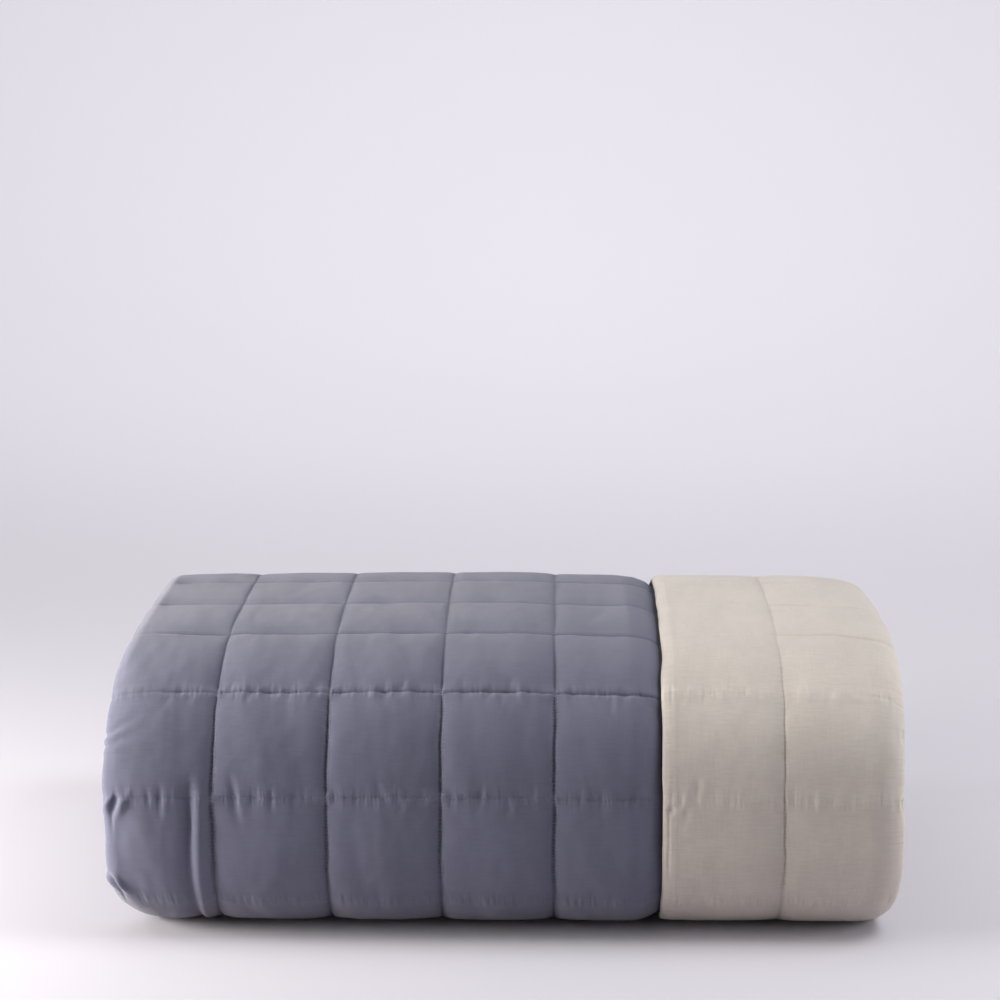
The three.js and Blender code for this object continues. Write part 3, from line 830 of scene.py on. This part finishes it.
def finish_cloth(piece, material):
    """Smooths a new cloth, turns its faces outwards and gives it its fabric."""
    bpy.ops.object.select_all(action="DESELECT")
    bpy.context.view_layer.objects.active = piece
    piece.select_set(True)
    bpy.ops.object.mode_set(mode="EDIT")
    bpy.ops.mesh.select_all(action="SELECT")
    bpy.ops.mesh.normals_make_consistent(inside=False)
    bpy.ops.object.mode_set(mode="OBJECT")
    bpy.ops.object.shade_smooth()
    piece.data.materials.append(material)
    piece.select_set(False)


def surface_of(sizes, roll, relief):
    """A function that gives the settled places of outline points at lengths along the roll."""

    def places(outline, lengths):
        shape = (len(lengths), len(outline))
        length = np.broadcast_to(lengths[:, None], shape).copy()
        spread_out = [np.broadcast_to(values, shape).copy() for values in outline.T]
        x, depth, pull_x, pull_depth, _, column, kind, waver, off_x, off_depth = spread_out
        lost = 1 - roll.fullness(length)
        x -= lost * off_x
        depth -= lost * off_depth
        sink = np.zeros(shape)
        fade = roll.relief(length)
        forward = smoothstep(-length, -roll.first_row - 1.7 * SQUARE, -roll.first_row - 1.2 * SQUARE)
        drawn = 0.0008 * ripple(length / 0.075, 0.3, 71) + 0.0004 * ripple(length / 0.024, 0.6, 72)
        x += waver * (drawn - HEM_DRAW * forward)
        quilted = outline[:, 6] == 1
        if quilted.any():
            drop, shift_x, shift_length = relief(sizes, roll, column[:, quilted], length[:, quilted])
            sink[:, quilted] = drop
            x[:, quilted] += shift_x * fade[:, quilted] * pull_depth[:, quilted]
            length[:, quilted] += shift_length * fade[:, quilted]
        _, above, _ = row_values(roll, length)
        dent = NOSE_DENT * np.exp(-np.abs(above) / 0.007)
        dent = dent + 0.0006 * ripple(length / 0.045, column / 0.02, 73)
        dent = np.where(kind > 0, dent * np.abs(pull_x), 0)
        sink = np.where(kind == 1, sink * fade + dent * (1 - fade), dent)
        return roll.place(x + pull_x * sink, depth + pull_depth * sink, length)

    return places


def hem_side(side):
    """The underside of the turned-back edge, drawn in toward its hem."""
    shaped = side.copy()
    shaped[:, 1] -= HEM_UNDER * side[:, 7] ** 2
    shaped[:, 9] -= HEM_UNDER * side[:, 7] ** 2
    return shaped


def work_out(tree, operation, *values):
    """A Math node with its inputs set or linked, as its output."""
    node = tree.nodes.new("ShaderNodeMath")
    node.operation = operation
    for socket, value in zip(node.inputs, values):
        if isinstance(value, bpy.types.NodeSocket):
            tree.links.new(value, socket)
        else:
            socket.default_value = value
    return node.outputs[0]


def ease(tree, value, low, high, at_low, at_high):
    """A smooth change of a value from at_low to at_high."""
    node = tree.nodes.new("ShaderNodeMapRange")
    node.interpolation_type = "SMOOTHSTEP"
    for name, number in (("From Min", low), ("From Max", high), ("To Min", at_low), ("To Max", at_high)):
        node.inputs[name].default_value = number
    tree.links.new(value, node.inputs["Value"])
    return node.outputs["Result"]


def stretched_noise(tree, vector, scale, detail):
    mapping = tree.nodes.new("ShaderNodeMapping")
    mapping.inputs["Scale"].default_value = scale
    tree.links.new(vector, mapping.inputs["Vector"])
    noise = tree.nodes.new("ShaderNodeTexNoise")
    noise.inputs["Scale"].default_value = 1
    noise.inputs["Detail"].default_value = detail
    tree.links.new(mapping.outputs["Vector"], noise.inputs["Vector"])
    return noise.outputs["Fac"]


def bumped(tree, height, strength, distance, normal=None):
    """A Bump node over a height, on another normal if one is given, as its output."""
    bump = tree.nodes.new("ShaderNodeBump")
    bump.inputs["Strength"].default_value = strength
    bump.inputs["Distance"].default_value = distance
    tree.links.new(height, bump.inputs["Height"])
    if normal:
        tree.links.new(normal, bump.inputs["Normal"])
    return bump.outputs["Normal"]


def toned(tree, value, colour, dark, light, low=0, high=1):
    """A colour that goes from a dark to a light share of itself as a value goes from low to high."""
    ramp = tree.nodes.new("ShaderNodeValToRGB")
    for element, position, share in zip(ramp.color_ramp.elements, (low, high), (dark, light)):
        element.position = position
        element.color = (*[min(channel * share, 1) for channel in colour], 1)
    tree.links.new(value, ramp.inputs["Fac"])
    return ramp.outputs["Color"]


def fabric(name, colour, sheen, hole_shade_tone, hole_depth, context, column_seam, row_seam, shown_span):
    """A soft plain weave with uneven yarns and a faint bloom. Beside the seams it is finely puckered, and on
    them it has the holes of the needle, each with a painted shade that darkens the base colour for the shade
    in the hole and under the thread. The seams are given by a place on the cloth, and shown_span is the
    stretch across it where they show."""
    sizes, colours = context.scene.quilt_sizes, context.scene.quilt_colours
    material = bpy.data.materials.new(name)
    material.use_nodes = True
    tree = material.node_tree
    nodes, links = tree.nodes, tree.links
    shader = nodes["Principled BSDF"]
    shader.inputs["Sheen Weight"].default_value = sheen
    shader.inputs["Sheen Roughness"].default_value = 0.45
    shader.inputs["Sheen Tint"].default_value = (*colours.bloom, 1)
    shader.inputs["Specular IOR Level"].default_value = 0.25
    place = nodes.new("ShaderNodeUVMap")
    place.uv_map = "cloth"
    vector = place.outputs["UV"]
    split = nodes.new("ShaderNodeSeparateXYZ")
    links.new(vector, split.inputs["Vector"])
    across, along = split.outputs["X"], split.outputs["Y"]
    to_column = work_out(tree, "PINGPONG", work_out(tree, "SUBTRACT", across, column_seam), SQUARE / 2)
    to_row = work_out(tree, "PINGPONG", work_out(tree, "SUBTRACT", along, row_seam), SQUARE / 2)
    yarns = []
    for direction in ("X", "Y"):
        yarn = nodes.new("ShaderNodeTexWave")
        yarn.wave_type = "BANDS"
        yarn.bands_direction = direction
        yarn.inputs["Scale"].default_value = math.pi / 10 / sizes.yarn_pitch
        yarn.inputs["Distortion"].default_value = 1.5
        yarn.inputs["Detail"].default_value = 1
        links.new(vector, yarn.inputs["Vector"])
        yarns.append(yarn.outputs["Fac"])
    weave = work_out(tree, "MAXIMUM", *yarns)
    weft = stretched_noise(tree, vector, (75, 480, 1), 2)
    warp = stretched_noise(tree, vector, (480, 50, 1), 2)
    cloud = stretched_noise(tree, vector, (13, 13, 1), 2)
    slubs = work_out(tree, "ADD", weft, work_out(tree, "MULTIPLY", warp, 0.6))
    tone = work_out(tree, "DIVIDE", work_out(tree, "ADD", slubs, cloud), 2.6)
    # Needle holes, one for each stitch, on the two sets of seams; their darker base colour is painted shade
    holes = []
    for to_seam, beat, share in ((to_column, along, 0.5), (to_row, across, 0.15)):
        step = work_out(tree, "FRACT", work_out(tree, "DIVIDE", beat, sizes.stitch_length))
        gap = work_out(tree, "ABSOLUTE", work_out(tree, "SUBTRACT", step, 0.5))
        spot = work_out(tree, "MULTIPLY", ease(tree, gap, 0.28, 0.46, 0, 1), share)
        holes.append(work_out(tree, "MULTIPLY", spot, ease(tree, to_seam, 0.0006, 0.0022, 1, 0)))
    above_floor = work_out(tree, "GREATER_THAN", along, row_seam - SQUARE / 2)
    holes[1] = work_out(tree, "MULTIPLY", holes[1], above_floor)
    shown = work_out(tree, "COMPARE", across, sum(shown_span) / 2, (shown_span[1] - shown_span[0]) / 2)
    hole = work_out(tree, "MULTIPLY", work_out(tree, "MAXIMUM", *holes), shown)
    # Painted shade: at each needle hole the base colour darkens to a share of itself, for the shade in the
    # hole and under the thread
    dark = nodes.new("ShaderNodeMix")
    dark.data_type = "RGBA"
    dark.inputs["B"].default_value = (*[channel * hole_shade_tone for channel in colour], 1)
    links.new(hole, dark.inputs["Factor"])
    links.new(toned(tree, tone, colour, 0.90, 1.10, 0.30, 0.70), dark.inputs["A"])
    links.new(dark.outputs["Result"], shader.inputs["Base Color"])
    links.new(ease(tree, weave, 0, 1, 0.95, 0.82), shader.inputs["Roughness"])
    # Fine puckers that leave the seams at right angles, fewer on the top of the bundle
    down = ease(tree, along, row_seam + 1.2 * SQUARE, row_seam + 1.8 * SQUARE, 1, 0.3)
    puckers = []
    for scale, to_seam, reach in (((190, 24, 1), to_row, 0.013), ((24, 190, 1), to_column, 0.009)):
        ridges = stretched_noise(tree, vector, scale, 1)
        puckers.append(work_out(tree, "MULTIPLY", ridges, ease(tree, to_seam, 0, reach, 1, 0)))
    pucker = work_out(tree, "ADD", puckers[0], work_out(tree, "MULTIPLY", puckers[1], 0.6))
    ridged = work_out(tree, "MULTIPLY", pucker, down)
    pricked = work_out(tree, "SUBTRACT", ridged, work_out(tree, "MULTIPLY", hole, hole_depth))
    wrinkle = bumped(tree, pricked, 0.9, 0.0019)
    yarn_height = work_out(tree, "MULTIPLY_ADD", slubs, 0.35, weave)
    links.new(bumped(tree, yarn_height, 0.35, 0.00025, wrinkle), shader.inputs["Normal"])
    return material


def thread(name, colour):
    """Spun sewing thread with a slight twist and uneven tone."""
    material = bpy.data.materials.new(name)
    material.use_nodes = True
    tree = material.node_tree
    nodes, links = tree.nodes, tree.links
    shader = nodes["Principled BSDF"]
    shader.inputs["Sheen Weight"].default_value = 0.3
    shader.inputs["Roughness"].default_value = 0.7
    place = nodes.new("ShaderNodeTexCoord")
    noise = nodes.new("ShaderNodeTexNoise")
    noise.inputs["Scale"].default_value = 700
    links.new(place.outputs["Object"], noise.inputs["Vector"])
    twist = noise.outputs["Fac"]
    links.new(toned(tree, twist, colour, 0.85, 1.12), shader.inputs["Base Color"])
    links.new(bumped(tree, twist, 0.4, 0.0001), shader.inputs["Normal"])
    return material


def stitched(lines, sizes):
    """Beads of thread along lines of places and normals, each line with its share of the thread's thickness:
    their points and faces."""
    sides = 5
    pitch = sizes.stitch_length
    turn = np.arange(sides) * 2 * math.pi / sides
    points, faces = [], []
    for places, normals, share in lines:
        steps = np.concatenate(([0], np.cumsum(np.linalg.norm(np.diff(places, axis=0), axis=1))))
        count = int(steps[-1] / pitch)
        for index in range(count):
            ends = np.array([index + 0.10, index + 0.30, index + 0.70, index + 0.90]) * pitch
            spot = np.stack([np.interp(ends, steps, places[:, axis]) for axis in range(3)], axis=1)
            up = np.array([np.interp(ends[1], steps, normals[:, axis]) for axis in range(3)])
            up /= np.linalg.norm(up)
            along = spot[3] - spot[0]
            along /= np.linalg.norm(along)
            across = np.cross(up, along)
            across /= np.linalg.norm(across)
            radius = share * sizes.thread_thickness / 2
            first = len(points)
            points.append(spot[0] - up * radius * 0.6)
            for ring in (1, 2):
                for angle in turn:
                    out = math.cos(angle) * across + math.sin(angle) * up
                    points.append(spot[ring] + up * radius * 0.5 + out * radius)
            points.append(spot[3] - up * radius * 0.6)
            for side in range(sides):
                after = (side + 1) % sides
                a, b = first + 1 + side, first + 1 + after
                faces.append([first, b, a])
                faces.append([a, b, b + sides, a + sides])
                faces.append([first + 1 + 2 * sides, a + sides, b + sides])
    return points, faces


def sewing(name, roll, outline, lengths, grid, seams, share, ends, material, sizes):
    """The stitches along the seams of a cloth's quilted side, as one mesh of small beads. share is the
    thickness that shows on the column seams, and ends are the first and last place across the squares that
    the row seams reach."""
    sewn = np.flatnonzero(outline[:, 6] == 1)
    column = outline[sewn, 5]
    grid = grid[:, sewn]
    normal = np.cross(np.gradient(grid, axis=1), np.gradient(grid, axis=0))
    normal /= np.maximum(np.linalg.norm(normal, axis=2, keepdims=True), 1e-9)
    crown = np.unravel_index(grid[..., 2].argmax(), grid.shape[:2])
    normal *= np.sign(normal[crown][2])
    standing = np.flatnonzero(roll.relief(lengths) > 0.4)
    lines = []
    front = lengths[standing] < roll.first_row + 1.3 * SQUARE
    for seam in seams:
        index = np.abs(column - seam - SEWN_ASIDE).argmin()
        for run, thickness in ((standing[front], share), (standing[~front], ROW_THREAD_SHARE)):
            lines.append((grid[run, index], normal[run, index], thickness))
    span = np.flatnonzero((column >= ends[0]) & (column <= ends[1]))
    for row in range(0, 12):
        length = roll.first_row + row * SQUARE
        index = np.abs(lengths - length).argmin()
        if abs(lengths[index] - length) < 1e-6 and index in standing:
            lines.append((grid[index, span], normal[index, span], ROW_THREAD_SHARE))
    piece = new_piece(name, *stitched(lines, sizes))
    finish_cloth(piece, material)
    return piece


def backdrop(name):
    """A round floor that sweeps up into a wall on all sides."""
    sweep = np.linspace(0, math.pi / 2, 25)
    radii = [1.5, *(BACKDROP_FLAT + BACKDROP_SWEEP * np.sin(sweep)), BACKDROP_FLAT + BACKDROP_SWEEP]
    heights = [0, *(BACKDROP_SWEEP * (1 - np.cos(sweep))), BACKDROP_HEIGHT]
    count = 96
    turn = np.arange(count) * 2 * math.pi / count
    points = [(0, 0, 0)]
    for radius, height in zip(radii, heights):
        points.extend((radius * math.cos(angle), radius * math.sin(angle), height) for angle in turn)
    faces = [(0, 1 + side, 1 + (side + 1) % count) for side in range(count)]
    for ring in range(len(radii) - 1):
        inner = 1 + ring * count
        for side in range(count):
            after = (side + 1) % count
            faces.append((inner + side, inner + count + side, inner + count + after, inner + after))
    return new_piece(name, points, faces)


class QuiltSizes(bpy.types.PropertyGroup):
    """Sizes of the quilting"""

    seam_depth: bpy.props.FloatProperty(
        name="Seam depth", description="How far a seam lies below the solid's outer side",
        default=0.0054, min=0, unit="LENGTH")
    crown_rise: bpy.props.FloatProperty(
        name="Crown rise", description="How far a square's crown stands above the solid's outer side",
        default=0.0004, min=0, unit="LENGTH")
    seam_softness: bpy.props.FloatProperty(
        name="Seam softness", description="Distance over which a square falls away to its column seams",
        default=0.0095, min=0.001, unit="LENGTH")
    pucker_height: bpy.props.FloatProperty(
        name="Pucker height", description="Height of the small puckers beside a seam",
        default=0.0007, min=0, unit="LENGTH")
    crease_height: bpy.props.FloatProperty(
        name="Crease height", description="Height of the long soft creases in the squares",
        default=0.0010, min=0, unit="LENGTH")
    stitch_length: bpy.props.FloatProperty(
        name="Stitch length", description="Pitch of the sewing", default=0.0033, min=0.001, unit="LENGTH")
    yarn_pitch: bpy.props.FloatProperty(
        name="Yarn pitch", description="Pitch of the yarns in the weave",
        default=0.0006, min=0.0002, unit="LENGTH")
    thread_thickness: bpy.props.FloatProperty(
        name="Thread thickness", description="Thickness of the sewing thread",
        default=0.0007, min=0.0001, unit="LENGTH")


class QuiltColours(bpy.types.PropertyGroup):
    """Colours of the cloths, the threads and the floor"""

    face: bpy.props.FloatVectorProperty(
        name="Face cloth", description="Colour of the face cloth", subtype="COLOR",
        default=(0.1275, 0.1270, 0.1790), min=0, max=1)
    reverse: bpy.props.FloatVectorProperty(
        name="Reverse cloth", description="Colour of the reverse cloth", subtype="COLOR",
        default=(0.512, 0.457, 0.412), min=0, max=1)
    face_thread: bpy.props.FloatVectorProperty(
        name="Face thread", description="Colour of the sewing on the face", subtype="COLOR",
        default=(0.190, 0.186, 0.239), min=0, max=1)
    reverse_thread: bpy.props.FloatVectorProperty(
        name="Reverse thread", description="Colour of the sewing on the reverse", subtype="COLOR",
        default=(0.565, 0.501, 0.446), min=0, max=1)
    bloom: bpy.props.FloatVectorProperty(
        name="Bloom", description="Tint of the cloth's soft sheen", subtype="COLOR",
        default=(1.0, 0.97, 0.94), min=0, max=1)
    floor: bpy.props.FloatVectorProperty(
        name="Floor", description="Colour of the studio floor", subtype="COLOR",
        default=(0.546, 0.522, 0.563), min=0, max=1)


class QUILT_OT_face_cloth(bpy.types.Operator):
    """Makes the face cloth with its sewing"""

    bl_idname = "quilt.face_cloth"
    bl_label = "Face cloth"

    def execute(self, context):
        sizes, colours = context.scene.quilt_sizes, context.scene.quilt_colours
        roll = Roll()
        sides = (cloth_side(-HALF_PANEL_GAP), hem_side(cloth_side(-HALF_LAYER)))
        surface = surface_of(sizes, roll, face_relief)
        piece, outline, lengths, grid = panel_mesh("face_cloth_panel", roll, sides, surface)
        first_seam = outline[np.abs(outline[:, 5] - FACE_SEAMS[1][0]).argmin(), 4] % SQUARE
        shown = (CUFF_EDGE, FACE_SEWN_FROM)
        shown_span = [outline[np.abs(outline[:, 5] - place).argmin(), 4] for place in shown]
        material = fabric(
            "face_fabric", colours.face, 0.26, 0.80, 0.7, context, first_seam, roll.first_row, shown_span)
        finish_cloth(piece, material)
        seams = [place for place, _ in FACE_SEAMS[1:5]]
        thread_material = thread("face_thread", colours.face_thread)
        ends = (FACE_SEWN_FROM, FACE_STEP_TO)
        stitches = sewing(
            "face_stitching", roll, outline, lengths, grid, seams, 0.8, ends, thread_material, sizes)
        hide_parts("face_panel")
        for part in (piece, stitches):
            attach(part, "root")
        return {"FINISHED"}


class QUILT_OT_reverse_cloth(bpy.types.Operator):
    """Makes the reverse cloth with its sewing"""

    bl_idname = "quilt.reverse_cloth"
    bl_label = "Reverse cloth"

    def execute(self, context):
        sizes, colours = context.scene.quilt_sizes, context.scene.quilt_colours
        roll = Roll()
        sides = (cloth_side(HALF_LAYER), cloth_side(HALF_PANEL_GAP))
        surface = surface_of(sizes, roll, cuff_relief)
        piece, outline, lengths, grid = panel_mesh("reverse_cloth_panel", roll, sides, surface)
        first_seam = (CUFF_SEAM - CUFF_EDGE) % SQUARE
        shown_span = (SQUARE / 2, 1.5 * SQUARE)
        material = fabric(
            "reverse_fabric", colours.reverse, 0.28, 0.93, 0.3, context, first_seam, roll.first_row,
            shown_span)
        finish_cloth(piece, material)
        seams = [CUFF_EDGE + HEM_WIDTH, CUFF_SEAM]
        thread_material = thread("reverse_thread", colours.reverse_thread)
        ends = (CUFF_EDGE + HEM_WIDTH, CUFF_SEAMS[1][0])
        stitches = sewing(
            "reverse_stitching", roll, outline, lengths, grid, seams, 0.45, ends, thread_material, sizes)
        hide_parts("reverse_panel")
        for part in (piece, stitches):
            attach(part, "root")
        return {"FINISHED"}


class QUILT_OT_studio(bpy.types.Operator):
    """Makes the floor, the lights and the camera"""

    bl_idname = "quilt.studio"
    bl_label = "Studio"

    def execute(self, context):
        colours = context.scene.quilt_colours
        bpy.ops.object.select_all(action="DESELECT")
        floor = backdrop("quilt_studio_floor")
        bpy.context.view_layer.objects.active = floor
        floor.select_set(True)
        bpy.ops.object.shade_smooth()
        material = bpy.data.materials.new("studio_floor")
        material.use_nodes = True
        shader = material.node_tree.nodes["Principled BSDF"]
        shader.inputs["Base Color"].default_value = (*colours.floor, 1)
        shader.inputs["Roughness"].default_value = 0.9
        shader.inputs["Specular IOR Level"].default_value = 0.1
        floor.data.materials.append(material)
        world = bpy.data.worlds.new("studio")
        world.use_nodes = True
        background = world.node_tree.nodes["Background"]
        background.inputs["Color"].default_value = (0.95, 0.93, 1.0, 1)
        background.inputs["Strength"].default_value = 0.0
        context.scene.world = world
        for name, location, target, size, power, colour in LAMPS:
            data = bpy.data.lights.new(name, "AREA")
            data.shape = "RECTANGLE"
            data.size, data.size_y = size
            data.energy = power
            data.color = colour
            lamp = bpy.data.objects.new(name, data)
            context.collection.objects.link(lamp)
            lamp.location = location
            from_lamp = np.array(target) - np.array(location)
            level = math.hypot(from_lamp[0], from_lamp[1])
            heading = math.atan2(from_lamp[1], from_lamp[0]) - math.pi / 2 if level > 0 else 0
            lamp.rotation_euler = (math.atan2(level, -from_lamp[2]), 0, heading)
        camera_data = bpy.data.cameras.new("camera")
        camera_data.sensor_fit = "HORIZONTAL"
        camera_data.sensor_width = 36
        camera_data.lens = CAMERA_LENS
        camera = bpy.data.objects.new("camera", camera_data)
        context.collection.objects.link(camera)
        x, y, z = CAMERA_PLACE
        camera.location = (x - MIDDLE_X, y - MIDDLE_Y, z)
        camera.rotation_euler = (math.radians(90 - CAMERA_DOWN), 0, math.radians(CAMERA_TURN))
        context.scene.camera = camera
        context.scene.view_settings.view_transform = "Standard"
        return {"FINISHED"}


class QUILT_PT_sidebar(bpy.types.Panel):
    """Lists the pieces of the quilt with their sizes and colours"""

    bl_idname = "QUILT_PT_sidebar"
    bl_label = "Folded quilt"
    bl_space_type = "VIEW_3D"
    bl_region_type = "UI"
    bl_category = "Quilt"

    def draw(self, context):
        for group in (context.scene.quilt_sizes, context.scene.quilt_colours):
            box = self.layout.box()
            for name in group.__annotations__:
                box.prop(group, name)
        for operator in PIECES:
            self.layout.operator(operator.bl_idname)


PIECES = (QUILT_OT_studio, QUILT_OT_face_cloth, QUILT_OT_reverse_cloth)
CLASSES = (QuiltSizes, QuiltColours, *PIECES, QUILT_PT_sidebar)


def register():
    for cls in CLASSES:
        bpy.utils.register_class(cls)
    bpy.types.Scene.quilt_sizes = bpy.props.PointerProperty(type=QuiltSizes)
    bpy.types.Scene.quilt_colours = bpy.props.PointerProperty(type=QuiltColours)


def unregister():
    del bpy.types.Scene.quilt_colours
    del bpy.types.Scene.quilt_sizes
    for cls in reversed(CLASSES):
        bpy.utils.unregister_class(cls)


def main():
    register()
    bpy.ops.quilt.studio()
    bpy.ops.quilt.face_cloth()
    bpy.ops.quilt.reverse_cloth()


if __name__ == "__main__":
    main()
